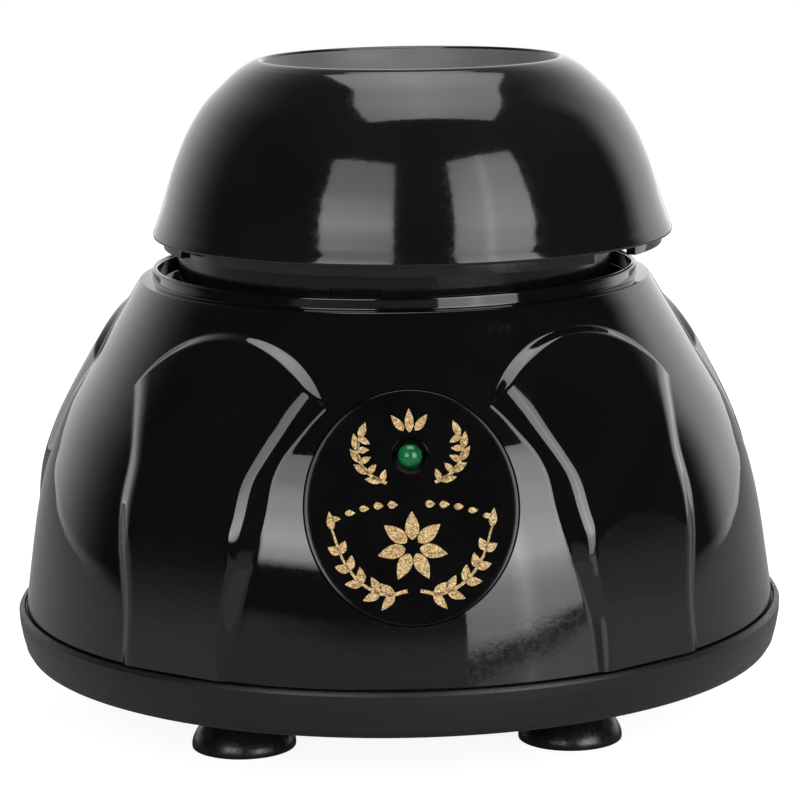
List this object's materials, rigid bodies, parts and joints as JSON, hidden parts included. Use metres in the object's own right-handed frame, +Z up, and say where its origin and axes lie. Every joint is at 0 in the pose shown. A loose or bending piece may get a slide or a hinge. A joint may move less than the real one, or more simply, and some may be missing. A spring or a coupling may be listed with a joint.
{
  "type": "nail polish shaker machine",
  "caption": "Electric nail polish shaker: rubber bottle cup on an eccentric carrier over a round bell-shaped housing with arched panels, oval badge, indicator light and suction feet.",
  "frame": {"origin": "centre of the body on the table plane under the suction feet", "axes": "+Z up through the drive's axis, -Y towards the oval badge at the front, +X to the right seen from the front"},
  "size_m": [0.104, 0.104, 0.0882],
  "materials": {
    "gloss_black_plastic": "piano gloss",
    "satin_black_plastic": "satin",
    "badge_black": "matte",
    "green_lens": "clear moulded",
    "black_rubber": "polished mould",
    "zinc_steel": "zinc plated",
    "spring_steel": "drawn wire",
    "ground_steel": "ground",
    "pressed_aluminium": "pressed sheet",
    "brass": "turned",
    "green_board": "solder mask",
    "red_plastic": "moulded",
    "ivory_plastic": "moulded"
  },
  "bodies": {
    "case": {"housing": "gloss_black_plastic", "turret": "gloss_black_plastic", "base_plate": "satin_black_plastic", "badge_plate": "badge_black", "led_lens": "green_lens", "led_clip": "satin_black_plastic", "foot_front_left": "black_rubber", "foot_front_right": "black_rubber", "foot_rear_left": "black_rubber", "foot_rear_right": "black_rubber", "base_screws": "zinc_steel", "shoulder_bolts": "zinc_steel", "dc_jack": "satin_black_plastic", "jack_pin": "zinc_steel", "jack_nut": "zinc_steel", "jack_contacts": "brass", "power_frame": "satin_black_plastic", "power_terminals": "brass", "control_board": "green_board", "board_parts": "satin_black_plastic", "board_screws": "zinc_steel", "switch_bracket": "zinc_steel", "bracket_screws": "zinc_steel", "micro_switch": "satin_black_plastic", "switch_screws": "zinc_steel", "press_spring_1": "spring_steel", "press_spring_2": "spring_steel", "press_spring_3": "spring_steel"},
    "carriage": {"motor_plate": "pressed_aluminium", "guide_bushes": "ivory_plastic", "motor_can": "zinc_steel", "motor_end_cap": "satin_black_plastic", "motor_tabs": "brass", "motor_bush": "brass", "motor_screws": "zinc_steel"},
    "rotor": {"motor_shaft": "ground_steel", "crank_hub": "brass", "hub_grub_screw": "ground_steel", "inner_race": "ground_steel", "crank_washer": "zinc_steel", "crank_screw": "zinc_steel"},
    "head": {"outer_race": "ground_steel", "bearing_cover": "satin_black_plastic", "cover_screws": "zinc_steel", "cup_carrier": "satin_black_plastic", "carrier_pins": "ground_steel", "rubber_cup": "black_rubber"},
    "plunger": {"switch_plunger": "red_plastic"},
    "rocker": {"power_rocker": "gloss_black_plastic"}
  },
  "joints": [
    {"name": "head_press", "type": "slide", "parent": "case", "child": "carriage", "axis": [0, 0, -1], "range_m": [0, 0.0016], "stiffness_N_per_m": 1500, "springref_m": -0.004, "deforming": ["press_spring_1", "press_spring_2", "press_spring_3"]},
    {"name": "motor_spin", "type": "hinge", "parent": "carriage", "child": "rotor", "pos_m": [0, 0, 0.055], "axis": [0, 0, 1], "continuous": true},
    {"name": "cup_steady", "type": "hinge", "parent": "rotor", "child": "head", "pos_m": [0.0025, 0, 0.068], "axis": [0, 0, 1], "continuous": true},
    {"name": "start_plunger", "type": "slide", "parent": "case", "child": "plunger", "axis": [0, 0, -1], "range_m": [0, 0.0016]},
    {"name": "power_switch", "type": "hinge", "parent": "case", "child": "rocker", "pos_m": [0.02772, 0.03815, 0.02567], "axis": [0.809, -0.5878, 0], "range_deg": [0, 16]}
  ],
  "couplings": [
    {"joint": "cup_steady", "follows": "motor_spin", "ratio": -1},
    {"joint": "start_plunger", "follows": "head_press", "ratio": 1}
  ]
}
